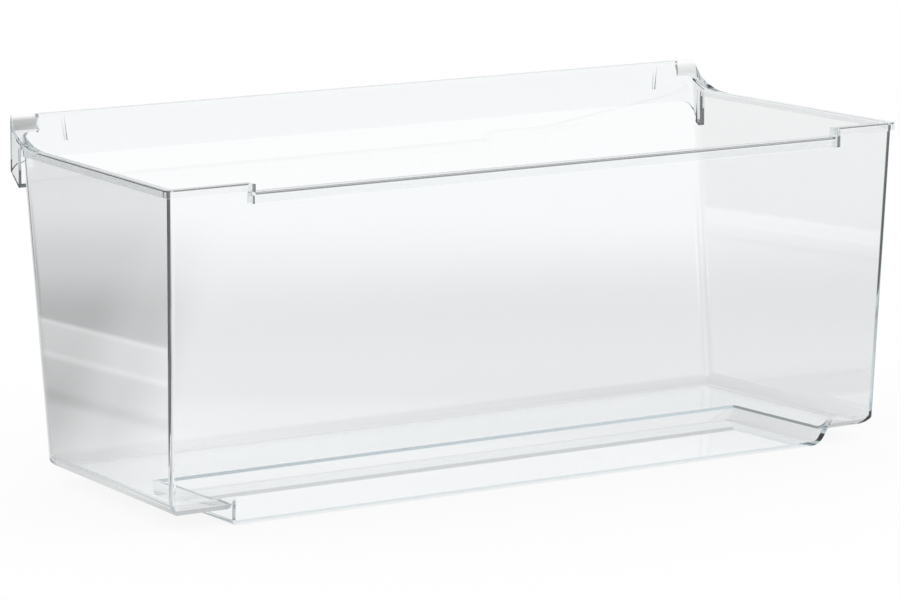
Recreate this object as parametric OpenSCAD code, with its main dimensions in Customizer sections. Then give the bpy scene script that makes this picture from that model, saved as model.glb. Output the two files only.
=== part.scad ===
// Crisper drawer: a clear moulded tub with drafted walls, rolled side rims, a lowered
// front grip, a raised back panel with wings, and a shallow well in the front of its floor.
// Millimetres, +Z up, front towards -Y, origin under the middle of the outer box.

/* [Tub] */
// Width over the rims at the front
front_w = 456; // [420:1:500]
// Width over the rims at the back
rear_w = 440; // [410:1:480]
// Depth from the front rim's edge to the outside of the rear wall, at the rims
tub_d = 176.5; // [150:0.5:240]
// Height of the rims above the underside of the floor
tub_h = 169; // [120:1:220]
// Thickness of the walls and the floor
wall_t = 2.2; // [1.8:0.1:3]
// Draft of the side walls, in degrees
side_draft = 1.2; // [0.5:0.1:3]
// Draft of the front wall, in degrees
front_draft = 2.7; // [1:0.1:5]
// Draft of the rear wall, in degrees
rear_draft = 7.2; // [2:0.1:10]
// Outside radius of the upright corners at the front
corner_r = 3; // [2.5:0.5:6]
// Outside radius of the upright corners at the back
rear_corner_r = 6; // [3:0.5:7]
// Outside radius where the side walls meet the floor
side_floor_r = 9; // [7:0.5:16]
// Outside radius where the front wall meets the floor
front_floor_r = 8; // [7:0.5:16]
// Outside radius where the rear wall meets the floor
rear_floor_r = 8; // [7:0.5:16]

/* [Rims] */
// How far the rims stand out from the walls
rim_out = 2.2; // [1.8:0.1:4]
// Height of the rolled rims
rim_h = 4.2; // [3:0.1:7]
// Thickness of the rims
rim_t = 1.2; // [1:0.1:1.6]
// Bevel along the top of the rims
rim_bevel = 0.6; // [0.3:0.1:0.9]

/* [Front grip] */
// From the outside of the left rim to the left end of the grip
lip_left_inset = 47; // [36:0.5:70]
// From the outside of the right rim to the right end of the grip
lip_right_inset = 41.5; // [36:0.5:70]
// How far the grip lies below the rims
lip_drop = 4.4; // [2:0.1:8]
// How far the grip stands out from the front wall
lip_out = 4.8; // [4:0.1:12]
// Height of the grip's skirt
lip_h = 5.6; // [4:0.1:15]
// Thickness of the grip
lip_t = 1.8; // [1.4:0.1:2.4]
// Thickness of the plates that close the ends of the grip
lip_end_t = 2; // [1.5:0.1:4]

/* [Floor well] */
// Depth of the well below the floor
well_depth = 7.2; // [4:0.1:9]
// From the outside of the left rim to the well's square left end
well_left_inset = 42; // [36:1:70]
// From the outside of the right rim to the front of the well's sloping right end
well_right_inset = 38; // [32:1:70]
// From the front rim's edge to the back of the well
well_reach = 91; // [80:1:120]
// Slope of the well's right end, in degrees from upright
well_end_slope = 31; // [5:1:40]
// Turn of the well's right end in plan, in degrees
well_end_turn = 3; // [0:0.5:10]
// Slope of the back of the well, in degrees from upright
well_back_slope = 14; // [3:1:40]
// Outside radius of the well's rounded edges
well_r = 5; // [4:0.5:6]
// Outside radius of the well's square edges
well_edge_r = 2.6; // [2.5:0.1:3]

/* [Back panel] */
// Rise of the panel above the rims
panel_rise = 16; // [8:0.5:30]
// Drop of the panel below the rims
panel_drop = 7.6; // [4:0.2:12]
// Gap between the rear wall and the panel, at the rims
panel_gap = 1.8; // [1.2:0.1:6]
// Thickness of the panel and its wings
panel_t = 2.2; // [1.6:0.1:3]
// Outside radius where the panel turns into its wings
panel_r = 2.6; // [2.5:0.1:6]
// Width of each end of the panel that belongs to a wing
wing_w = 29; // [22:1:60]
// Length of the ears along the sides, over the panel
wing_d = 11; // [9:0.5:20]
// Gap between a side wall and its wing
wing_gap = 1.4; // [1:0.1:4]
// Length of the hollow sweep from the rims up to the back
sweep_d = 31; // [20:1:40]
// Drop of the ears' tips below the rims
ear_drop = 21; // [14:0.5:40]
// Rise of the ears' lower edges towards the back, in degrees
ear_slope = 40; // [5:1:44]
// Width of the curve that leads from an ear to the panel's lower edge
ear_curve_w = 12; // [8:1:20]
// Height of the two ribs between the rear wall and the panel
rib_h = 14; // [6:0.5:16]
// Width of the ribs at their foot
rib_w = 1.2; // [0.8:0.1:2]
// Width of the ribs at their top
rib_top_w = 2.4; // [0.8:0.1:4]
// Lean of the ribs' feet towards the middle, in degrees
rib_lean = 7; // [0:1:15]

/* [Hidden] */

clear_tint = [0.84, 0.89, 0.9];
rim_tint = [0.7, 0.77, 0.81];
hull_fn = 24;
arc_steps = 12;
// Overrun of a cutting solid past the faces that it cuts
over = 2;
// Thickness of a sheet that only ends a hull
sheet = 0.01;
// Depth that is cut off under the well, so that it stands on a true flat
sole_cut = 0.2;
// Least radius of an inside corner
least_r = 0.3;

left = -1;
right = 1;

// Heights above the underside of the well
floor_z = well_depth;
rim_z = well_depth + tub_h;
top_z = rim_z + panel_rise;
// The walls are flat above this height and round into the floor below it
wall_z = floor_z + max(side_floor_r, front_floor_r, rear_floor_r) + over;
lip_z = rim_z - lip_drop;

// Half widths of the grip and the well
function lip_x(side) = side * (front_w / 2 - (side < 0 ? lip_left_inset : lip_right_inset));
well_left = front_w / 2 - well_left_inset;
well_right = front_w / 2 - well_right_inset;

// Depths behind the edge of the front rim
wall_front_y = rim_out;
lip_front_y = rim_out - lip_out;
panel_back_y = tub_d + panel_gap + panel_t;
panel_front_y = tub_d + panel_gap;
wing_front_y = panel_back_y - wing_d;
mid_y = (lip_front_y + panel_back_y) / 2;

// Depths of the upright corners' centres, at the rims
corner_front_y = wall_front_y + corner_r;
corner_rear_y = tub_d - rear_corner_r;

// Half of the width over the outsides of the side walls, at the rims
side_taper = (rear_w - front_w) / 2 / (corner_rear_y - corner_front_y);
function half_w(y) = front_w / 2 - rim_out + (y - corner_front_y) * side_taper;

// Places on the outsides of the drafted walls, at a height
function front_y(z) = wall_front_y + (rim_z - z) * tan(front_draft);
function rear_y(z) = tub_d - (rim_z - z) * tan(rear_draft);
function side_x(y, z) = half_w(y) - (rim_z - z) * tan(side_draft);

// Middles of the roundings where the front and rear walls meet the floor
round_front_y = front_y(floor_z + front_floor_r) + front_floor_r / cos(front_draft);
round_rear_y = rear_y(floor_z + rear_floor_r) - rear_floor_r / cos(rear_draft);

wing_x = half_w(wing_front_y) + wing_gap + panel_t;
panel_half = wing_x - wing_w;

// The hollow sweep runs from the rims up to the back of the panel
sweep_front_y = panel_back_y - sweep_d;
// The rear corners begin at this depth
rear_cut_y = min(round_rear_y, sweep_front_y - over);

module placed(tint) {
    color(tint) translate([0, -mid_y, 0]) children();
}

// A box between two corners
module span(low, high) {
    translate(low) cube(high - low);
}

// One end of an upright corner, at a height, on its drafted walls
module corner_end(side, y, draft, r, z, inset) {
    rise = z - rim_z;
    translate([side * (half_w(y) - r + rise * tan(side_draft)), y + rise * tan(draft), z])
        cylinder(h = sheet, r = max(r - inset, least_r), $fn = hull_fn);
}

// The drafted walls' solid form, carried past the floor and the top of the back
module wall_form(inset = 0) {
    hull() for (side = [left, right], z = [floor_z - over, top_z + over]) {
        corner_end(side, corner_front_y, -front_draft, corner_r, z, inset);
        corner_end(side, corner_rear_y, rear_draft, rear_corner_r, z, inset);
    }
}

// Points from the floor round to a drafted wall and on past it. mid is the middle of the rounding,
// and way is 1 for a wall on its far side and -1 for one on its near side.
function floor_round(mid, r, inset, draft, way) =
    let (swing = 90 - draft, tilt = swing * (1 - 0.5 / arc_steps), reach = 2 * rim_z)
    let (ring = [for (i = [0 : arc_steps - 1]) let (a = swing * i / arc_steps)
        [mid + way * (r - inset) * sin(a), floor_z + r - (r - inset) * cos(a)]])
    concat(ring, [ring[arc_steps - 1] + reach * [way * cos(tilt), sin(tilt)]]);

function reversed(points) = [for (i = [len(points) - 1 : -1 : 0]) points[i]];

// Side view of the floor and its roundings, and of all above them
module floor_side_view(inset) {
    polygon(concat(
        reversed(floor_round(round_front_y, front_floor_r, inset, front_draft, -1)),
        floor_round(round_rear_y, rear_floor_r, inset, rear_draft, 1)
    ));
}

// All that lies above the floor and inside the rounding of the right wall
module floor_right_side(inset) {
    mid = -(tub_h - side_floor_r) * tan(side_draft) - side_floor_r / cos(side_draft);
    low = floor_z + inset;
    translate([half_w(0), 0, 0]) rotate([0, 0, -atan(side_taper)]) through(-deep, 2 * deep)
        polygon(concat(
            floor_round(mid, side_floor_r, inset, side_draft, 1),
            [[-2 * wide, 2 * rim_z], [-2 * wide, low]]
        ));
}

// The tub's solid form: its outside, or its inside when inset by the wall
module tub_form(inset = 0) {
    intersection() {
        wall_form(inset);
        across(-wide, wide) floor_side_view(inset);
        floor_right_side(inset);
        mirror([1, 0, 0]) floor_right_side(inset);
    }
}

// Places on the outside of the well, at a height
function well_back_y(z) = well_reach + (z - floor_z) * tan(well_back_slope);
function well_right_x(y, z) =
    well_right - (y - wall_front_y) * tan(well_end_turn) + (z - floor_z) * tan(well_end_slope);

// Middle of the rounding at the foot of the sloping end
function low_right_x(y) = well_right_x(y, well_r) - well_r / cos(well_end_slope);

// A low disc on the front edge of the well, facing forward
module well_front_end(x, z, r) {
    translate([x, front_y(z) + over, z]) rotate([90, 0, 0]) cylinder(h = over, r = r, $fn = hull_fn);
}

// The well's solid form, carried up to the flat of the walls.
// forward moves its front face out, and sink moves its bottom down.
module well_form(inset = 0, forward = 0, sink = 0) {
    r = well_r - inset;
    edge_r = well_edge_r - inset;
    back_c = well_back_y(well_r) - well_r / cos(well_back_slope);
    top_back_c = well_back_y(wall_z) - well_r;
    hull() {
        translate([0, inset - forward, 0]) {
            well_front_end(-well_left + well_edge_r, well_edge_r - sink, edge_r);
            well_front_end(low_right_x(wall_front_y), well_r - sink, r);
            well_front_end(-well_left + well_edge_r, wall_z - edge_r, edge_r);
            well_front_end(well_right_x(wall_front_y, wall_z) - well_r, wall_z - r, r);
        }
        for (x = [-well_left + well_r, low_right_x(back_c)])
            translate([x, back_c, well_r - sink]) sphere(r = r, $fn = hull_fn);
        for (x = [-well_left + well_r, well_right_x(top_back_c, wall_z) - well_r])
            translate([x, top_back_c, wall_z - over]) cylinder(h = over, r = r, $fn = hull_fn);
    }
}

// The drafted walls between two corners of a box
module shell_part(low, high) {
    intersection() {
        difference() {
            wall_form();
            wall_form(wall_t);
        }
        span(low, high);
    }
}

wide = front_w;
deep = panel_back_y + over;
// The corners begin at these places
front_cut_x = side_x(round_front_y, floor_z) - side_floor_r;
rear_cut_x = side_x(round_rear_y, floor_z) - side_floor_r;

module floor_tray() {
    placed(clear_tint) difference() {
        tub_form();
        tub_form(wall_t);
        span([-wide, -deep, wall_z], [wide, deep, 2 * rim_z]);
        well_form(forward = over);
    }
}

module floor_well() {
    placed(clear_tint) difference() {
        well_form(sink = sole_cut);
        well_form(wall_t);
        tub_form(wall_t);
        span([-wide, -deep, -over], [wide, deep, 0]);
        span([-wide, -deep, wall_z], [wide, deep, rim_z]);
    }
}

module front_wall() {
    placed(clear_tint) difference() {
        shell_part([-front_cut_x, -deep, wall_z], [front_cut_x, round_front_y, rim_z]);
        span([lip_x(left), -deep, lip_z], [lip_x(right), round_front_y, rim_z + over]);
    }
}

// The turned-over edge along the top of the back, as a block
module ledge_block() {
    span([-panel_half, round_rear_y, top_z - wall_t], [panel_half, panel_back_y, top_z]);
}

module rear_wall() {
    placed(clear_tint) difference() {
        shell_part([-rear_cut_x, rear_cut_y, wall_z], [rear_cut_x, deep, top_z]);
        ledge_block();
    }
}

module side_wall(side) {
    placed(clear_tint) intersection() {
        shell_part([-wide, round_front_y, wall_z], [wide, rear_cut_y, rim_z]);
        half_space(side);
    }
}

// All the space on one side of the drawer
module half_space(side) {
    translate([side > 0 ? 0 : -wide, -deep, 0]) cube([wide, 2 * deep, 2 * rim_z]);
}

module left_wall() {
    side_wall(left);
}

module right_wall() {
    side_wall(right);
}

module front_corner(side) {
    x_in = side * front_cut_x;
    x_out = side * wide;
    placed(clear_tint)
        shell_part([min(x_in, x_out), -deep, wall_z], [max(x_in, x_out), round_front_y, rim_z]);
}

module rear_corner(side) {
    x_in = side * rear_cut_x;
    x_out = side * wide;
    placed(clear_tint) difference() {
        shell_part([min(x_in, x_out), rear_cut_y, wall_z], [max(x_in, x_out), deep, top_z]);
        across(-wide, wide) above_sweep();
    }
}

// Side view of all that lies above the rims and the hollow sweep
module above_sweep() {
    polygon(concat(
        [for (i = [0 : arc_steps]) let (a = 90 * i / arc_steps)
            [sweep_front_y + sweep_d * sin(a), top_z - panel_rise * cos(a)]],
        [[panel_back_y, top_z + over], [rear_cut_y - over, top_z + over], [rear_cut_y - over, rim_z]]
    ));
}

module front_left_corner() {
    front_corner(left);
}

module front_right_corner() {
    front_corner(right);
}

module rear_left_corner() {
    rear_corner(left);
}

module rear_right_corner() {
    rear_corner(right);
}

// A plate round the outside of the walls at the rims, with a bevelled top edge
module rim_plate(out, low, high, bevel) {
    hull() for (side = [left, right], end = [[corner_front_y, corner_r], [corner_rear_y, rear_corner_r]])
        translate([side * (half_w(end[0]) - end[1]), end[0], low]) {
            cylinder(h = high - low - bevel, r = end[1] + out, $fn = hull_fn);
            cylinder(h = high - low, r = end[1] + out - bevel, $fn = hull_fn);
        }
}

// The rolled rim between two corners of a box
module rim_part(low, high) {
    placed(rim_tint) intersection() {
        difference() {
            rim_plate(rim_out, rim_z - rim_h, rim_z, rim_bevel);
            rim_plate(rim_out - rim_t, rim_z - rim_h - over, rim_z - rim_t, 0);
            wall_form();
        }
        span(low, high);
    }
}

module side_rim(side) {
    x_out = side * wide;
    rim_part([min(0, x_out), round_front_y, 0], [max(0, x_out), wing_front_y, rim_z + over]);
}

module front_rim(side) {
    x_in = lip_x(side);
    x_out = side * wide;
    rim_part([min(x_in, x_out), -deep, 0], [max(x_in, x_out), round_front_y, rim_z + over]);
}

module left_rim() {
    side_rim(left);
}

module right_rim() {
    side_rim(right);
}

module front_left_rim() {
    front_rim(left);
}

module front_right_rim() {
    front_rim(right);
}

// Section of the grip: a web out from the wall and a skirt with a rounded top edge
module lip_section() {
    inner = lip_front_y + lip_t;
    polygon(concat(
        [for (i = [0 : arc_steps]) let (a = 180 - 90 * i / arc_steps)
            [lip_front_y + lip_t + lip_t * cos(a), lip_z - lip_t + lip_t * sin(a)]],
        [[round_front_y, lip_z], [round_front_y, lip_z - lip_t], [inner, lip_z - lip_t]],
        [[inner, lip_z - lip_h], [lip_front_y, lip_z - lip_h]]
    ));
}

// An outline of depth and height, drawn out across the drawer between two places
module across(x_from, x_to) {
    translate([x_from, 0, 0]) rotate([90, 0, 90]) linear_extrude(x_to - x_from) children();
}

// An outline of width and height, drawn out from front to back between two depths
module through(y_from, y_to) {
    translate([0, y_to, 0]) rotate([90, 0, 0]) linear_extrude(y_to - y_from) children();
}

module front_lip() {
    placed(rim_tint) difference() {
        across(lip_x(left) + lip_end_t, lip_x(right) - lip_end_t) lip_section();
        wall_form();
    }
}

module lip_end(side) {
    x_out = lip_x(side);
    x_in = x_out - side * lip_end_t;
    placed(rim_tint) difference() {
        span([min(x_in, x_out), lip_front_y, lip_z - lip_h], [max(x_in, x_out), round_front_y, rim_z]);
        wall_form();
    }
}

module lip_left_end() {
    lip_end(left);
}

module lip_right_end() {
    lip_end(right);
}

module rear_ledge() {
    placed(rim_tint) difference() {
        ledge_block();
        wall_form(wall_t);
    }
}

module back_panel() {
    placed(clear_tint) difference() {
        span([-panel_half, panel_front_y, rim_z - panel_drop], [panel_half, panel_back_y, top_z - wall_t]);
        wall_form();
    }
}

// Plan of the panel and its wings: the outside, or the inside when inset
module back_plan(inset) {
    translate([-wing_x + panel_r, sweep_front_y])
        square([2 * (wing_x - panel_r), sweep_d - inset]);
    translate([-wing_x + inset, sweep_front_y])
        square([2 * (wing_x - inset), sweep_d - panel_r]);
    for (side = [left, right])
        translate([side * (wing_x - panel_r), panel_back_y - panel_r])
            circle(r = panel_r - inset, $fn = 4 * hull_fn);
}

// The skin of the panel and its wings
module back_skin() {
    linear_extrude(top_z) difference() {
        back_plan(0);
        back_plan(panel_t);
    }
}

// Side view of the web under the hollow sweep
module sweep_web() {
    polygon(concat(
        [for (i = [0 : arc_steps]) let (a = 90 * i / arc_steps)
            [sweep_front_y + sweep_d * sin(a), top_z - panel_rise * cos(a)]],
        [for (i = [0 : arc_steps]) let (a = 90 - 90 * i / arc_steps)
            [sweep_front_y + (sweep_d + wall_t) * sin(a), top_z - (panel_rise + wall_t) * cos(a)]]
    ));
}

// Side view of a wing's slanting lower edge, and of all above it
module ear_side_view() {
    polygon([[wing_front_y, rim_z - ear_drop], [panel_back_y, rim_z - ear_drop + wing_d * tan(ear_slope)],
        [panel_back_y, top_z], [sweep_front_y, top_z], [sweep_front_y, rim_z], [wing_front_y, rim_z]]);
}

// Rear view of a right wing: the panel's lower edge curves down into the ear
module wing_rear_view() {
    curve_x = wing_x - ear_curve_w;
    curve_h = ear_drop - panel_drop;
    polygon(concat(
        [[panel_half, top_z], [panel_half, rim_z - panel_drop]],
        [for (i = [0 : arc_steps]) let (a = 90 * i / arc_steps)
            [curve_x + ear_curve_w * sin(a), rim_z - panel_drop - curve_h * (1 - cos(a))]],
        [[wing_x, top_z]]
    ));
}

// A wing: its skin, the web under its sweep, its top edge and the web that closes the ear's front
module right_wing_form() {
    turn_y = panel_back_y - panel_r;
    difference() {
        intersection() {
            across(panel_half, wing_x) ear_side_view();
            union() {
                through(turn_y - over, panel_back_y) wing_rear_view();
                span([panel_half, sweep_front_y, 0], [wing_x, turn_y, top_z]);
            }
            union() {
                back_skin();
                across(panel_half, wing_x - panel_t / 2) sweep_web();
                span([panel_half, wing_front_y, 0], [wing_x, wing_front_y + panel_t, rim_z]);
                span([panel_half, round_rear_y, top_z - wall_t], [rear_cut_x, panel_back_y, top_z]);
            }
        }
        across(rear_cut_x, wing_x + over) above_sweep();
        wall_form();
    }
}

module right_wing() {
    placed(clear_tint) right_wing_form();
}

module left_wing() {
    placed(clear_tint) mirror([1, 0, 0]) right_wing_form();
}

module panel_ribs() {
    rib_top_z = top_z - wall_t;
    foot_x = rib_h * tan(rib_lean);
    rib_x = panel_half - rib_top_w / 2;
    placed(rim_tint) for (side = [left, right])
        difference() {
            through(round_rear_y, panel_front_y)
                polygon([[side * (rib_x - rib_top_w / 2), rib_top_z], [side * (rib_x + rib_top_w / 2), rib_top_z],
                    [side * (rib_x - foot_x + rib_w / 2), rib_top_z - rib_h],
                    [side * (rib_x - foot_x - rib_w / 2), rib_top_z - rib_h]]);
            wall_form();
        }
}

floor_tray();
floor_well();
front_wall();
rear_wall();
left_wall();
right_wall();
front_left_corner();
front_right_corner();
rear_left_corner();
rear_right_corner();
left_rim();
right_rim();
front_left_rim();
front_right_rim();
front_lip();
lip_left_end();
lip_right_end();
rear_ledge();
back_panel();
left_wing();
right_wing();
panel_ribs();
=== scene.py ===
"""Crisper drawer: one clear moulding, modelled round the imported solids, on a white studio sweep."""

import math

import bmesh
import bpy
from mathutils import Matrix, Vector


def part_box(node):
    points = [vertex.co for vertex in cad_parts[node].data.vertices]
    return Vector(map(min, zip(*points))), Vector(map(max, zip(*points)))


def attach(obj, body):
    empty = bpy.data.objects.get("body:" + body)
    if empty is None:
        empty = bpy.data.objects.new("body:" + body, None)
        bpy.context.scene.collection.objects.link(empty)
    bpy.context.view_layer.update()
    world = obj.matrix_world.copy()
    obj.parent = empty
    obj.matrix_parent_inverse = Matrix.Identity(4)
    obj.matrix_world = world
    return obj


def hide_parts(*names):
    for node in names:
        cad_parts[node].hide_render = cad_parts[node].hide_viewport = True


bl_info = {
    "name": "Crisper drawer",
    "version": (1, 0, 0),
    "blender": (4, 5, 0),
    "location": "View3D > Sidebar > Drawer",
    "description": "Models a clear moulded crisper drawer and its studio",
    "category": "Object",
}

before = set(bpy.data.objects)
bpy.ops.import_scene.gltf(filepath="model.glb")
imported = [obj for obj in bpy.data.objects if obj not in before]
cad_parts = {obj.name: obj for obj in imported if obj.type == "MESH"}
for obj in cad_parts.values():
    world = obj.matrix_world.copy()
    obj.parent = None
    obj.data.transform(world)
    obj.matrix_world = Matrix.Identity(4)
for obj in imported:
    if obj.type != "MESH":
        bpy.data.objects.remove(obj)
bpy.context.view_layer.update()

MM = 0.001
SIDES = (-1, 1)
# Overrun of a cutting form past the faces that it cuts
OVER = 5 * MM
# Overlap of forms that are joined
BITE = 0.5 * MM
# A hair's step between faces that would otherwise lie in one plane, so that forms join cleanly
HAIR = 0.02 * MM
# Depth of the front rim's edge and height of the rims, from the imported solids
RIM_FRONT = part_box("front_left_rim")[0].y
RIM_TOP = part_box("left_rim")[1].z
BACK_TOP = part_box("rear_ledge")[1].z
PANEL_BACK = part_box("back_panel")[1].y - RIM_FRONT
WING_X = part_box("right_wing")[1].x
PANEL_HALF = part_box("back_panel")[1].x
LIP_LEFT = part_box("lip_left_end")[0].x
LIP_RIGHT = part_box("lip_right_end")[1].x
LIP_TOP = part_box("front_lip")[1].z
LIP_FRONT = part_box("front_lip")[0].y - RIM_FRONT
SWEEP_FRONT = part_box("right_wing")[0].y - RIM_FRONT
REAR_CUT_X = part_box("rear_wall")[1].x
LIP_END_T = LIP_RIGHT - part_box("lip_right_end")[0].x
# Depth and place between the front edges and the rear ones, to cut or tell them apart
FRONT_REACH = 60 * MM
MIDWAY = RIM_FRONT + FRONT_REACH
# How far the side rims run on into the wings
RIM_OVERLAP = 1 * MM
# How far the well's form is carried up past the floor's rounding
WELL_CARRY = 2 * MM
# How far the grip, the ledge, the webs and the ribs reach in, before the tub's inside is cut away
GRIP_REACH = 6 * MM
LEDGE_REACH = 20 * MM
WEB_REACH = 10 * MM
RIB_REACH = 8 * MM
# The sweep's hollow begins inside the cut end of the rear wall, and the band under it a little later
SWEEP_LONG = 100 * MM
SWEEP_EARLY = 0.6 * MM
BAND_EARLY = 0.4 * MM
# What the sweep's hollow leaves of the panel at its top
SWEEP_LEFT = 0.4 * MM
# Places nearer than this are the same place
NEAR = 0.01 * MM
# Edges that turn less than this are shaded smooth
SMOOTH_TURN = math.radians(32)

# Polystyrene bends light by this, and light that was mirrored this often inside the walls is let out
POLYSTYRENE_IOR = 1.59
MIRRORED_OUT = 2.5
# The photograph's camera: lens in pixels of a frame this wide, place, and yaw, pitch and roll in degrees
LENS_PIXELS = 4872.741
FRAME_PIXELS = 900
SENSOR_MM = 36
CAMERA_PLACE = (-1.399855, -2.162133, 0.545173)
CAMERA_TURN = (32.834286, 10.096684, -0.070088)
# Ways in the studio: along the view, to the back left, across and behind the drawer, over the table
VIEW_WAY = (0.534, 0.827, -0.175)
BACK_LEFT_WAY = (-0.77, 0.64, 0)
ACROSS_WAY = (0.84, -0.542, 0)
BEHIND_WAY = (0.542, 0.84, 0)
TABLE_WAY = (1.0, -0.19, 0)
DEPTH_WAY = (0, 1, 0)
# Levels of the room that the gloss mirrors, by height and towards the back left
ROOM_HEIGHT = ((-0.1, 1.0), (0.22, 1.1), (0.36, 0.45), (0.6, 0.12), (1.0, 0.2))
ROOM_SIDE = ((0.25, 1.0), (0.45, 0.6), (0.75, 0.08))
# Light that the edges bend far from the view finds the dark blue room beside the backdrop
BENT_LIGHT = ((0.3, "141C2A"), (0.75, "42546E"), (0.93, "FFFFFF"))
# Floor seen through the plastic: painted shade, greyer half a metre behind, with a painted dark strip
# behind the left wall
FLOOR_BEHIND = ((0.0, 0.97), (0.1, 0.88), (0.2, 0.8), (0.45, 0.76), (0.85, 0.9))
SHADE_STRIP_ACROSS = ((-0.23, 1.0), (-0.195, 0.5), (-0.155, 0.0))
SHADE_STRIP_BEHIND = ((0.0, 0.48), (0.16, 0.54), (0.41, 0.43), (0.63, 0.16), (0.9, 0.0))
# Floor in the gloss: pale, with painted highlights as two bright bands and painted shade at the far left
# and in one dip, and only behind the drawer
GLOSS_BANDS = (
    (-0.506, 0.04), (-0.475, 0.06), (-0.467, 1.0), (-0.459, 0.72), (-0.421, 0.7), (-0.413, 1.0),
    (-0.403, 0.55), (-0.366, 0.5), (-0.349, 0.2), (-0.331, 0.55), (0.0, 0.8))
TABLE_DEPTH = ((-0.05, 0.0), (0.1, 1.0))
TABLE_LEVEL = 0.8
FLOOR_FRONT = ((-1.1, 0.7), (-0.68, 1.1), (-0.54, 1.0), (-0.38, 0.55), (-0.12, 0.6), (0.05, 1.0))
# Floor as the camera sees it, before the light on it
FLOOR_LEVEL = 0.9
FLOOR_SIZE = 40


def length(name, description, millimetres):
    """A length that the sidebar shows."""
    return bpy.props.FloatProperty(
        name=name, description=description, default=millimetres * MM, unit="LENGTH", precision=4)


def angle(name, description, degrees):
    """An angle that the sidebar shows."""
    return bpy.props.FloatProperty(
        name=name, description=description, default=math.radians(degrees), subtype="ANGLE")


class DrawerSizes(bpy.types.PropertyGroup):
    """Sizes of the moulding."""

    front_w: length("Front width", "Width over the rims at the front", 456)
    rear_w: length("Rear width", "Width over the rims at the back", 440)
    tub_d: length("Depth", "From the front rim's edge to the rear wall, at the rims", 176.5)
    wall_t: length("Wall", "Thickness of the walls and the floor", 2.2)
    side_draft: angle("Side draft", "Draft of the side walls", 1.2)
    front_draft: angle("Front draft", "Draft of the front wall", 2.7)
    rear_draft: angle("Rear draft", "Draft of the rear wall", 7.2)
    corner_r: length("Front corners", "Outside radius of the upright corners at the front", 3)
    rear_corner_r: length("Rear corners", "Outside radius of the upright corners at the back", 6)
    side_floor_r: length("Side floor radius", "Outside radius where the side walls meet the floor", 9)
    floor_r: length("Floor radius", "Outside radius where the front and rear walls meet the floor", 8)
    rim_out: length("Rim reach", "How far the rims stand out from the walls", 2.2)
    rim_h: length("Rim height", "Height of the rolled rims", 4.2)
    rim_t: length("Rim thickness", "Thickness of the rims", 1.2)
    rim_r: length("Rim radius", "Radius of the rims' top edges", 1.1)
    lip_h: length("Grip height", "Height of the grip's skirt", 5.6)
    lip_t: length("Grip thickness", "Thickness of the grip", 1.8)
    well_depth: length("Well depth", "Depth of the well below the floor", 7.2)
    well_left_inset: length("Well left inset", "From the outside of the left rim to the well", 42)
    well_right_inset: length("Well right inset", "From the outside of the right rim to the well", 38)
    well_reach: length("Well reach", "From the front rim's edge to the back of the well", 91)
    well_r: length("Well radius", "Outside radius at the foot of the well's sloping end", 5)
    well_edge_r: length("Well edge radius", "Outside radius of the well's other edges", 2.6)
    well_end_slope: angle("Well end slope", "Slope of the well's right end from upright", 31)
    well_end_turn: angle("Well end turn", "Turn of the well's right end in plan", 3)
    well_back_slope: angle("Well back slope", "Slope of the well's back from upright", 14)
    panel_drop: length("Panel drop", "Drop of the back panel below the rims", 7.6)
    panel_t: length("Panel thickness", "Thickness of the back panel and its wings", 2.2)
    panel_r: length("Panel radius", "Outside radius where the panel turns into its wings", 2.6)
    wing_d: length("Ear length", "Length of the ears along the sides", 11)
    ear_drop: length("Ear drop", "Drop of the ears' tips below the rims", 21)
    ear_slope: angle("Ear slope", "Rise of the ears' lower edges towards the back", 40)
    ear_curve_w: length("Ear curve", "Width of the curve from an ear to the panel", 12)
    rib_h: length("Rib height", "Height of the two ribs behind the rear wall", 14)
    rib_w: length("Rib width", "Width of the ribs at their foot", 1.2)
    rib_top_w: length("Rib top width", "Width of the ribs at their top", 2.4)
    rib_lean: angle("Rib lean", "Lean of the ribs' feet towards the middle", 7)


class DrawerLook(bpy.types.PropertyGroup):
    """Colours and finish of the moulding."""

    depth_tint: bpy.props.StringProperty(
        name="Depth tint", default="ACC6D0",
        description="Colour that light takes on inside the plastic, as sRGB hex")
    depth_per_m: bpy.props.FloatProperty(
        name="Depth strength", default=26, min=0,
        description="How fast light takes on that colour, per metre")
    roughness: bpy.props.FloatProperty(
        name="Roughness", description="Roughness of the polished mould", default=0.02, min=0, max=1)


def linear(hex_colour):
    """Linear colour of an sRGB hex value."""
    parts = [int(hex_colour[i:i + 2], 16) / 255 for i in (0, 2, 4)]
    return tuple(c / 12.92 if c <= 0.04045 else ((c + 0.055) / 1.055) ** 2.4 for c in parts) + (1.0,)


def at(x, depth, z):
    """A place given by its depth behind the front rim's edge."""
    return Vector((x, RIM_FRONT + depth, z))


def half_w(depth):
    """Half of the width over the side walls, at the rims."""
    s = bpy.context.scene.drawer_sizes
    first = s.rim_out + s.corner_r
    last = s.tub_d - s.rear_corner_r
    return s.front_w / 2 - s.rim_out + (depth - first) * (s.rear_w - s.front_w) / 2 / (last - first)


def front_depth(z):
    """Depth of the outside of the front wall."""
    s = bpy.context.scene.drawer_sizes
    return s.rim_out + (RIM_TOP - z) * math.tan(s.front_draft)


def rear_depth(z):
    """Depth of the outside of the rear wall."""
    s = bpy.context.scene.drawer_sizes
    return s.tub_d - (RIM_TOP - z) * math.tan(s.rear_draft)


def side_x(depth, z):
    """Place of the outside of a side wall."""
    s = bpy.context.scene.drawer_sizes
    return half_w(depth) - (RIM_TOP - z) * math.tan(s.side_draft)


def deselect():
    """Leave edit mode and select nothing."""
    if bpy.context.object and bpy.context.object.mode != "OBJECT":
        bpy.ops.object.mode_set(mode="OBJECT")
    bpy.ops.object.select_all(action="DESELECT")


def block(name, low, high):
    """A new box between two corners, to be shaped."""
    deselect()
    bpy.ops.mesh.primitive_cube_add(size=1, location=(low + high) / 2)
    piece = bpy.context.object
    piece.name = name
    piece.scale = high - low
    bpy.ops.object.transform_apply(location=True, rotation=True, scale=True)
    return piece


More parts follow.
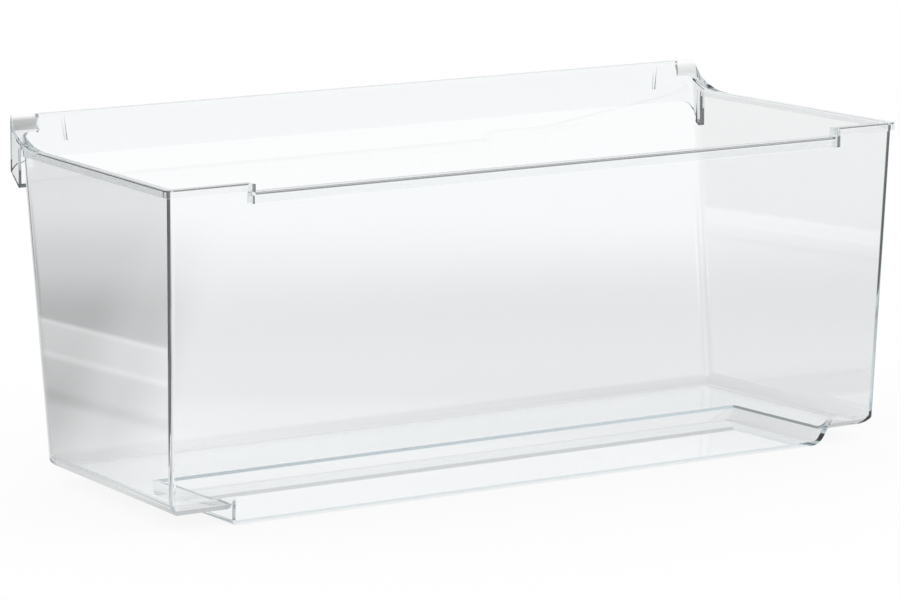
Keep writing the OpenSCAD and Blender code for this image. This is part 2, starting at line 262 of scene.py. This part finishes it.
def drum(name, middle, turn, radii):
    """A new elliptic drum about a middle, turned to lie along X or Y, with its length among its radii."""
    deselect()
    bpy.ops.mesh.primitive_cylinder_add(vertices=160, radius=1, depth=1, rotation=turn)
    piece = bpy.context.object
    piece.name = name
    bpy.ops.object.transform_apply(location=False, rotation=True, scale=False)
    piece.scale = radii
    piece.location = middle
    bpy.ops.object.transform_apply(location=True, rotation=True, scale=True)
    return piece


def pick(piece, kind, test):
    """Go into edit mode with only the vertices, edges or faces selected that pass a test."""
    bpy.context.view_layer.objects.active = piece
    bpy.ops.object.mode_set(mode="EDIT")
    bpy.ops.mesh.select_mode(type=kind)
    bpy.ops.mesh.select_all(action="DESELECT")
    form = bmesh.from_edit_mesh(piece.data)
    for item in {"VERT": form.verts, "EDGE": form.edges, "FACE": form.faces}[kind]:
        item.select_set(bool(test(item)))
    bmesh.update_edit_mesh(piece.data)


def shaped_block(name, place):
    """A new box whose eight corners go where place(side, back, top) says."""
    piece = block(name, Vector((-1, -1, -1)), Vector((1, 1, 1)))
    corners = [(side, back, top) for side in SIDES for back in SIDES for top in SIDES]
    targets = [place(*signs) for signs in corners]
    origin = [next(v.index for v in piece.data.vertices
                   if all(c * sign > 0 for c, sign in zip(v.co, signs))) for signs in corners]
    for index, target in zip(origin, targets):
        move = target - piece.data.vertices[index].co
        pick(piece, "VERT", lambda v: v.index == index)
        bpy.ops.transform.translate(value=move)
        bpy.ops.object.mode_set(mode="OBJECT")
    return piece


def round_edges(piece, test, radius, steps):
    """Round the edges that pass a test."""
    pick(piece, "EDGE", test)
    bpy.ops.mesh.bevel(offset=radius, offset_type="OFFSET", segments=steps, profile=0.5, affect="EDGES",
                       clamp_overlap=False)
    bpy.ops.object.mode_set(mode="OBJECT")


def combine(piece, tool, how, keep=False):
    """Join a form to a piece, cut it away or keep what they share."""
    deselect()
    bpy.context.view_layer.objects.active = piece
    piece.select_set(True)
    change = piece.modifiers.new("Combine", "BOOLEAN")
    change.operation = how
    change.solver = "EXACT"
    change.object = tool
    bpy.ops.object.modifier_apply(modifier=change.name)
    if not keep:
        bpy.data.objects.remove(tool)


def upright(edge):
    """True for an edge that runs up a wall."""
    line = edge.verts[1].co - edge.verts[0].co
    return abs(line.z) > 0.9 * line.length


def along_x(edge):
    """True for an edge that runs across the drawer."""
    line = edge.verts[1].co - edge.verts[0].co
    return abs(line.x) > 0.9 * line.length


def level_at(z):
    """A test for edges that lie at a height."""
    return lambda edge: all(abs(v.co.z - z) < NEAR for v in edge.verts)


def wall_block(name, inset, low, high, past_side, past_end):
    """A block between the drafted walls, carried past the side walls or past the front and rear ones."""

    def corner(side, back, top):
        z = high if top > 0 else low
        depth = rear_depth(z) - inset + past_end if back > 0 else front_depth(z) + inset - past_end
        return at(side * (side_x(depth, z) - inset + past_side), depth, z)

    return shaped_block(name, corner)


def tub_form(name, inset):
    """The tub's solid form: its outside, or its inside when inset by the wall."""
    s = bpy.context.scene.drawer_sizes
    floor = s.well_depth + inset
    high = BACK_TOP + OVER + inset
    wide = s.front_w
    piece = wall_block(name, inset, floor - OVER, high, 0, 0)
    round_edges(piece, lambda e: upright(e) and e.verts[0].co.y < MIDWAY, s.corner_r - inset, 8)
    round_edges(piece, lambda e: upright(e) and e.verts[0].co.y > MIDWAY, s.rear_corner_r - inset, 10)
    ends = wall_block("ends", inset, floor, high + OVER, wide, HAIR)
    round_edges(ends, lambda e: level_at(floor)(e) and along_x(e), s.floor_r - inset, 12)
    combine(piece, ends, "INTERSECT")
    sides = wall_block("sides", inset, floor, high + OVER, HAIR, s.tub_d)
    round_edges(sides, lambda e: level_at(floor)(e) and not along_x(e), s.side_floor_r - inset, 12)
    combine(piece, sides, "INTERSECT")
    return piece


def well_form(name, inset):
    """The well's solid form, carried up into the tub."""
    s = bpy.context.scene.drawer_sizes
    floor = s.well_depth
    low = inset
    high = floor + s.floor_r + WELL_CARRY
    left_end = s.well_left_inset - s.front_w / 2
    right_end = s.front_w / 2 - s.well_right_inset

    def corner(side, back, top):
        z = high if top > 0 else low
        behind = s.well_reach + (z - floor) * math.tan(s.well_back_slope) - inset
        depth = behind if back > 0 else front_depth(z) + inset - HAIR
        if side < 0:
            return at(left_end + inset, depth, z)
        slope = (z - floor) * math.tan(s.well_end_slope) - (depth - s.rim_out) * math.tan(s.well_end_turn)
        return at(right_end + slope - inset / math.cos(s.well_end_slope), depth, z)

    piece = shaped_block(name, corner)
    foot = level_at(low)
    round_edges(piece, lambda e: foot(e) and not along_x(e) and e.verts[0].co.x > 0, s.well_r - inset, 8)
    edge_r = s.well_edge_r - inset
    round_edges(piece, lambda e: foot(e) and along_x(e) and e.verts[0].co.y > MIDWAY, edge_r, 6)
    round_edges(piece, lambda e: foot(e) and not along_x(e) and e.verts[0].co.x < 0, edge_r, 6)
    return piece


def rim_plate(name, out, low, high):
    """A plate round the walls at the rims."""
    s = bpy.context.scene.drawer_sizes
    rear = PANEL_BACK - s.wing_d + RIM_OVERLAP

    def corner(side, back, top):
        depth = rear if back > 0 else s.rim_out - out
        return at(side * (half_w(depth) + out), depth, high if top > 0 else low)

    piece = shaped_block(name, corner)
    round_edges(piece, lambda e: upright(e) and e.verts[0].co.y < MIDWAY, s.corner_r + out, 14)
    return piece


def sweep_drum(side, grow):
    """The drum that hollows the sweep from the rims up to the back, on one side."""
    x = side * (REAR_CUT_X - SWEEP_EARLY + SWEEP_LONG / 2)
    reach = PANEL_BACK - SWEEP_FRONT - SWEEP_LEFT
    radii = Vector((SWEEP_LONG, reach + grow, BACK_TOP - RIM_TOP + grow))
    return drum("sweep", at(x, SWEEP_FRONT, BACK_TOP), (0, math.pi / 2, 0), radii)


class DRAWER_OT_tub(bpy.types.Operator):
    """Model the open tub with its drafted walls, rounded floor and well"""

    bl_idname = "drawer.tub"
    bl_label = "Tub"

    def execute(self, context):
        s = context.scene.drawer_sizes
        tub = tub_form("drawer_moulding", 0)
        combine(tub, well_form("well_outside", 0), "UNION")
        wide = s.front_w
        for depth, z in ((wide, BACK_TOP), (SWEEP_FRONT, RIM_TOP)):
            combine(tub, block("above", at(-wide, -wide, z), at(wide, depth, z + wide)), "DIFFERENCE")
        notch = block("notch", at(LIP_LEFT + BITE, -wide, LIP_TOP),
                      at(LIP_RIGHT - BITE, FRONT_REACH, RIM_TOP + OVER))
        combine(tub, notch, "DIFFERENCE")
        return {"FINISHED"}


class DRAWER_OT_rims(bpy.types.Operator):
    """Model the rolled rims along the sides and round the front corners"""

    bl_idname = "drawer.rims"
    bl_label = "Rims"

    def execute(self, context):
        s = context.scene.drawer_sizes
        rim = rim_plate("rim", s.rim_out, RIM_TOP - s.rim_h, RIM_TOP)
        round_edges(rim, level_at(RIM_TOP), s.rim_r, 5)
        under = rim_plate("under", s.rim_out - s.rim_t, RIM_TOP - s.rim_h - OVER, RIM_TOP - s.rim_t)
        combine(rim, under, "DIFFERENCE")
        gap = block("gap", at(LIP_LEFT + BITE, -s.tub_d, RIM_TOP - s.tub_d),
                    at(LIP_RIGHT - BITE, FRONT_REACH, RIM_TOP + OVER))
        combine(rim, gap, "DIFFERENCE")
        combine(bpy.data.objects["drawer_moulding"], rim, "UNION")
        return {"FINISHED"}


class DRAWER_OT_grip(bpy.types.Operator):
    """Model the lowered grip along the front, with the plates that close its ends"""

    bl_idname = "drawer.grip"
    bl_label = "Front grip"

    def execute(self, context):
        s = context.scene.drawer_sizes
        foot = LIP_TOP - s.lip_h
        grip = block("grip", at(LIP_LEFT, LIP_FRONT, foot), at(LIP_RIGHT, GRIP_REACH, LIP_TOP))
        edge_y = RIM_FRONT + LIP_FRONT

        def top_front(edge):
            return level_at(LIP_TOP)(edge) and all(abs(v.co.y - edge_y) < NEAR for v in edge.verts)

        round_edges(grip, top_front, s.lip_t * 0.9, 6)
        under = block("under", at(LIP_LEFT + LIP_END_T, LIP_FRONT + s.lip_t, foot - OVER),
                      at(LIP_RIGHT - LIP_END_T, GRIP_REACH + OVER, LIP_TOP - s.lip_t))
        combine(grip, under, "DIFFERENCE")
        for low_x in (LIP_LEFT, LIP_RIGHT - LIP_END_T):
            plate = block("plate", at(low_x, LIP_FRONT, foot), at(low_x + LIP_END_T, GRIP_REACH, RIM_TOP))
            combine(grip, plate, "UNION")
        combine(bpy.data.objects["drawer_moulding"], grip, "UNION")
        return {"FINISHED"}


class DRAWER_OT_back(bpy.types.Operator):
    """Model the raised back: hanging panel, wings with their ears, turned top edge and ribs"""

    bl_idname = "drawer.back"
    bl_label = "Back panel"

    def execute(self, context):
        s = context.scene.drawer_sizes
        ear_front = PANEL_BACK - s.wing_d
        panel_front = PANEL_BACK - s.panel_t
        tip = RIM_TOP - s.ear_drop
        wide = s.front_w
        back = block("back", at(-WING_X, SWEEP_FRONT, tip), at(WING_X, PANEL_BACK, BACK_TOP))
        behind = RIM_FRONT + SWEEP_FRONT + NEAR
        round_edges(back, lambda e: upright(e) and e.verts[0].co.y > behind, s.panel_r, 8)
        inner_x = WING_X - s.panel_t
        hollow = block("hollow", at(-inner_x, 0, 0), at(inner_x, panel_front, BACK_TOP + OVER))
        combine(back, hollow, "DIFFERENCE")
        arms = block("arms", at(-wide, 0, 0), at(wide, ear_front, RIM_TOP - BITE))
        combine(back, arms, "DIFFERENCE")
        for side in SIDES:
            self.close_wing(s, back, side, ear_front, tip)
        ledge = block("ledge", at(-REAR_CUT_X, s.tub_d - LEDGE_REACH, BACK_TOP - s.wall_t),
                      at(REAR_CUT_X, PANEL_BACK - s.panel_t / 2, BACK_TOP))
        combine(back, ledge, "UNION")
        for side in SIDES:
            combine(back, self.rib(s, side, panel_front), "UNION")
        self.cut_lower_edge(s, back, ear_front, tip)
        moulding = bpy.data.objects["drawer_moulding"]
        combine(moulding, back, "UNION")
        for side in SIDES:
            combine(moulding, sweep_drum(side, 0), "DIFFERENCE")
        return {"FINISHED"}

    def close_wing(self, s, back, side, ear_front, tip):
        """Join the web at an ear's front and the web under the sweep to the wing's skin."""
        near = s.rear_w / 2 - WEB_REACH
        far = WING_X - s.panel_t / 2
        xs = sorted((side * near, side * far))
        web = block("web", at(xs[0], ear_front, tip), at(xs[1], ear_front + s.panel_t, RIM_TOP))
        combine(back, web, "UNION")
        xs = sorted((side * (REAR_CUT_X - BAND_EARLY), side * far))
        band = block("band", at(xs[0], SWEEP_FRONT, RIM_TOP - s.rim_t),
                     at(xs[1], PANEL_BACK - s.panel_t / 2, BACK_TOP))
        combine(band, sweep_drum(side, s.wall_t), "INTERSECT")
        combine(back, band, "UNION")

    def rib(self, s, side, panel_front):
        """One rib between the rear wall and the panel."""
        high = BACK_TOP - s.wall_t / 2
        low = high - s.rib_h
        middle = PANEL_HALF - s.rib_top_w / 2

        def corner(right, behind, top):
            half = (s.rib_top_w if top > 0 else s.rib_w) / 2
            lean = 0 if top > 0 else s.rib_h * math.tan(s.rib_lean)
            depth = panel_front + s.panel_t / 2 if behind > 0 else s.tub_d - RIB_REACH
            return at(side * (middle - lean) + right * half, depth, high if top > 0 else low)

        return shaped_block("rib", corner)

    def cut_lower_edge(self, s, back, ear_front, tip):
        """Cut the panel's lower edge, the curves from it to the ears and the ears' slanting edges."""
        turn = PANEL_BACK - s.panel_r
        curve_x = WING_X - s.ear_curve_w
        low = tip - OVER
        cut = block("cut", at(-curve_x, turn, low), at(curve_x, PANEL_BACK + OVER, RIM_TOP - s.panel_drop))
        combine(back, cut, "DIFFERENCE")
        for side in SIDES:
            radii = Vector((s.ear_curve_w, 2 * (PANEL_BACK - turn), s.ear_drop - s.panel_drop))
            middle = at(side * curve_x, PANEL_BACK, tip)
            combine(back, drum("curve", middle, (math.pi / 2, 0, 0), radii), "DIFFERENCE")

        def corner(right, behind, top):
            depth = PANEL_BACK + OVER if behind > 0 else ear_front - OVER
            slant = tip + (depth - ear_front) * math.tan(s.ear_slope)
            return at(right * s.front_w, depth, slant if top > 0 else low - s.ear_drop)

        combine(back, shaped_block("slant", corner), "DIFFERENCE")


class DRAWER_OT_finish(bpy.types.Operator):
    """Clean the moulding's mesh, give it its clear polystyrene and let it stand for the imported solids"""

    bl_idname = "drawer.finish"
    bl_label = "Finish"

    def execute(self, context):
        s = context.scene.drawer_sizes
        piece = bpy.data.objects["drawer_moulding"]
        inside = tub_form("tub_inside", s.wall_t)
        combine(inside, well_form("well_inside", s.wall_t), "UNION")
        combine(piece, inside, "DIFFERENCE")
        pick(piece, "VERT", lambda v: True)
        bpy.ops.mesh.remove_doubles(threshold=NEAR)
        bpy.ops.mesh.dissolve_limited(angle_limit=math.radians(0.1))
        bpy.ops.mesh.normals_make_consistent(inside=False)
        bpy.ops.object.mode_set(mode="OBJECT")
        deselect()
        piece.select_set(True)
        context.view_layer.objects.active = piece
        bpy.ops.object.shade_smooth_by_angle(angle=SMOOTH_TURN)
        even = piece.modifiers.new("Even", "WEIGHTED_NORMAL")
        even.keep_sharp = True
        bpy.ops.object.modifier_apply(modifier=even.name)
        piece.data.materials.clear()
        piece.data.materials.append(clear_polystyrene(context.scene.drawer_look))
        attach(piece, "root")
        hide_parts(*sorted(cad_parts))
        return {"FINISHED"}


def add_node(tree, kind, values=(), links=(), stops=()):
    """Add a node with its settings, its links and, for a ramp, its stops of (input, level or hex)."""
    node = tree.nodes.new(kind)
    for key, value in dict(values).items():
        if isinstance(key, int) or key in node.inputs:
            node.inputs[key].default_value = value
        else:
            setattr(node, key, value)
    for key, source in dict(links).items():
        tree.links.new(source, node.inputs[key])
    if stops:
        first, last = stops[0][0], stops[-1][0]
        points = node.color_ramp.elements
        node.color_ramp.interpolation = "EASE"
        for place, level in stops[1:-1]:
            points.new((place - first) / (last - first))
        for point, (place, level) in zip(points, stops):
            point.color = linear(level) if isinstance(level, str) else (level, level, level, 1)
    return node


def clear_polystyrene(look):
    """Clear polystyrene from a polished mould: bright faces, a little blue-green depth, dark edges."""
    material = bpy.data.materials.new("clear_polystyrene")
    material.use_nodes = True
    tree = material.node_tree
    tree.nodes.clear()
    shader = add_node(tree, "ShaderNodeBsdfPrincipled", {
        "Base Color": linear("FFFFFF"), "Roughness": look.roughness, "IOR": POLYSTYRENE_IOR,
        "Transmission Weight": 1.0})
    depth = add_node(tree, "ShaderNodeVolumeAbsorption", {
        "Color": linear(look.depth_tint), "Density": look.depth_per_m})
    # Faint haze lets light out of the walls at last: what has run along them for long goes straight on
    path = add_node(tree, "ShaderNodeLightPath")
    spent = add_node(tree, "ShaderNodeMath", {"operation": "GREATER_THAN", 1: MIRRORED_OUT},
                     {0: path.outputs["Glossy Depth"]})
    leave = add_node(tree, "ShaderNodeBsdfTransparent")
    mix = add_node(tree, "ShaderNodeMixShader", {},
                   {0: spent.outputs[0], 1: shader.outputs[0], 2: leave.outputs[0]})
    add_node(tree, "ShaderNodeOutputMaterial", {}, {"Surface": mix.outputs[0], "Volume": depth.outputs[0]})
    return material


class DRAWER_OT_stage(bpy.types.Operator):
    """Set up the white floor, the studio light and the camera at the photograph's view"""

    bl_idname = "drawer.stage"
    bl_label = "Stage"

    def execute(self, context):
        scene = context.scene
        scene.view_settings.view_transform = "Standard"
        self.make_camera(scene)
        self.make_world(scene)
        self.make_floor()
        return {"FINISHED"}

    def make_camera(self, scene):
        """A long lens, placed from the photograph's edges."""
        data = bpy.data.cameras.new("camera")
        data.sensor_width = SENSOR_MM
        data.lens = LENS_PIXELS / FRAME_PIXELS * data.sensor_width
        data.clip_end = 50
        camera = bpy.data.objects.new("camera", data)
        scene.collection.objects.link(camera)
        yaw, pitch, roll = (math.radians(a) for a in CAMERA_TURN)
        right = Vector((math.cos(yaw), -math.sin(yaw), 0))
        level = math.cos(pitch)
        ahead = Vector((math.sin(yaw) * level, math.cos(yaw) * level, -math.sin(pitch)))
        down = ahead.cross(right)
        across = math.cos(roll) * right + math.sin(roll) * down
        below = -math.sin(roll) * right + math.cos(roll) * down
        turn = Matrix((across, -below, -ahead)).transposed()
        camera.matrix_world = Matrix.Translation(Vector(CAMERA_PLACE)) @ turn.to_4x4()
        scene.camera = camera

    def make_world(self, scene):
        """White behind the drawer, and for what it mirrors a room that is dark above and on the left."""
        world = bpy.data.worlds.new("studio")
        world.use_nodes = True
        tree = world.node_tree
        tree.nodes.clear()
        place = add_node(tree, "ShaderNodeTexCoord").outputs["Generated"]
        path = add_node(tree, "ShaderNodeLightPath")
        mirrored = add_node(tree, "ShaderNodeMath", {"operation": "GREATER_THAN", 1: 0.5},
                            {0: path.outputs["Glossy Depth"]})
        shades = []
        for way, stops in (((0, 0, 1), ROOM_HEIGHT), (BACK_LEFT_WAY, ROOM_SIDE), (VIEW_WAY, BENT_LIGHT)):
            along = add_node(tree, "ShaderNodeVectorMath", {"operation": "DOT_PRODUCT", 1: way}, {0: place})
            span = add_node(tree, "ShaderNodeMapRange", {"From Min": stops[0][0], "From Max": stops[-1][0]},
                            {"Value": along.outputs["Value"]})
            shade = add_node(tree, "ShaderNodeValToRGB", {}, {"Fac": span.outputs[0]}, stops)
            shades.append(shade.outputs["Color"])
        height, side, through = shades
        room = add_node(tree, "ShaderNodeMath", {"operation": "MULTIPLY"}, {0: height, 1: side})
        seen = add_node(tree, "ShaderNodeMixRGB", {},
                        {"Fac": mirrored.outputs[0], "Color1": through, "Color2": room.outputs[0]})
        open_sky = add_node(tree, "ShaderNodeMath", {"operation": "MAXIMUM"},
                            {0: path.outputs["Is Camera Ray"], 1: path.outputs["Is Diffuse Ray"]})
        level = add_node(tree, "ShaderNodeMixRGB", {"Color2": linear("FFFFFF")},
                         {"Fac": open_sky.outputs[0], "Color1": seen.outputs[0]})
        light = add_node(tree, "ShaderNodeBackground", {"Strength": 1.0}, {"Color": level.outputs[0]})
        add_node(tree, "ShaderNodeOutputWorld", {}, {"Surface": light.outputs[0]})
        scene.world = world

    def make_floor(self):
        """A wide white floor that shows softer greys through the plastic and in its gloss."""
        deselect()
        bpy.ops.mesh.primitive_plane_add(size=FLOOR_SIZE)
        floor = bpy.context.object
        floor.name = "floor"
        material = bpy.data.materials.new("white_sweep")
        material.use_nodes = True
        tree = material.node_tree
        tree.nodes.clear()
        place = add_node(tree, "ShaderNodeTexCoord").outputs["Object"]
        shades = []
        for way, stops in ((BEHIND_WAY, FLOOR_BEHIND), (ACROSS_WAY, SHADE_STRIP_ACROSS), (BEHIND_WAY, SHADE_STRIP_BEHIND),
                           (TABLE_WAY, GLOSS_BANDS), (DEPTH_WAY, TABLE_DEPTH), (DEPTH_WAY, FLOOR_FRONT)):
            along = add_node(tree, "ShaderNodeVectorMath", {"operation": "DOT_PRODUCT", 1: way}, {0: place})
            span = add_node(tree, "ShaderNodeMapRange", {"From Min": stops[0][0], "From Max": stops[-1][0]},
                            {"Value": along.outputs["Value"]})
            shade = add_node(tree, "ShaderNodeValToRGB", {}, {"Fac": span.outputs[0]}, stops)
            shades.append(shade.outputs["Color"])
        back, shade_strip_across, shade_strip_behind, gloss_bands, table_depth, front = shades
        # What is seen through the plastic: painted shade, a greyer floor behind and a dark strip behind the
        # left wall
        shade_strip = add_node(tree, "ShaderNodeMath", {"operation": "MULTIPLY"}, {0: shade_strip_across, 1: shade_strip_behind})
        rest = add_node(tree, "ShaderNodeMath", {"operation": "SUBTRACT", 0: 1.0}, {1: shade_strip.outputs[0]})
        through = add_node(tree, "ShaderNodeMath", {"operation": "MULTIPLY"}, {0: back, 1: rest.outputs[0]})
        # What the gloss mirrors: painted highlights and shade on the floor, seen only in reflections
        ended = add_node(tree, "ShaderNodeMix", {"data_type": "FLOAT", "A": TABLE_LEVEL},
                         {"Factor": table_depth, "B": gloss_bands})
        gloss = add_node(tree, "ShaderNodeMath", {"operation": "MULTIPLY"}, {0: ended.outputs[0], 1: front})
        path = add_node(tree, "ShaderNodeLightPath")
        mirrored = add_node(tree, "ShaderNodeMath", {"operation": "GREATER_THAN", 1: 0.5},
                            {0: path.outputs["Glossy Depth"]})
        inside = add_node(tree, "ShaderNodeMix", {"data_type": "FLOAT"},
                          {"Factor": mirrored.outputs[0], "A": through.outputs[0], "B": gloss.outputs[0]})
        level = add_node(tree, "ShaderNodeMix", {"data_type": "FLOAT", "B": FLOOR_LEVEL},
                         {"Factor": path.outputs["Is Camera Ray"], "A": inside.outputs[0]})
        glow = add_node(tree, "ShaderNodeEmission", {"Color": linear("FFFFFF")},
                        {"Strength": level.outputs[0]})
        matt = add_node(tree, "ShaderNodeBsdfDiffuse", {"Color": linear("5C5C5C")})
        both = add_node(tree, "ShaderNodeAddShader", {}, {0: glow.outputs[0], 1: matt.outputs[0]})
        add_node(tree, "ShaderNodeOutputMaterial", {}, {"Surface": both.outputs[0]})
        floor.data.materials.append(material)


class DRAWER_PT_sidebar(bpy.types.Panel):
    """The drawer's steps and sizes"""

    bl_idname = "DRAWER_PT_sidebar"
    bl_label = "Crisper drawer"
    bl_space_type = "VIEW_3D"
    bl_region_type = "UI"
    bl_category = "Drawer"

    def draw(self, context):
        for operator in OPERATORS:
            self.layout.operator(operator.bl_idname)
        for group in (context.scene.drawer_sizes, context.scene.drawer_look):
            for name in group.__annotations__:
                self.layout.prop(group, name)


OPERATORS = (
    DRAWER_OT_stage, DRAWER_OT_tub, DRAWER_OT_rims, DRAWER_OT_grip, DRAWER_OT_back, DRAWER_OT_finish)
CLASSES = (DrawerSizes, DrawerLook) + OPERATORS + (DRAWER_PT_sidebar,)


def register():
    for item in CLASSES:
        bpy.utils.register_class(item)
    bpy.types.Scene.drawer_sizes = bpy.props.PointerProperty(type=DrawerSizes)
    bpy.types.Scene.drawer_look = bpy.props.PointerProperty(type=DrawerLook)


def unregister():
    del bpy.types.Scene.drawer_look
    del bpy.types.Scene.drawer_sizes
    for item in reversed(CLASSES):
        bpy.utils.unregister_class(item)


def main():
    register()
    bpy.ops.drawer.stage()
    bpy.ops.drawer.tub()
    bpy.ops.drawer.rims()
    bpy.ops.drawer.grip()
    bpy.ops.drawer.back()
    bpy.ops.drawer.finish()


if __name__ == "__main__":
    main()
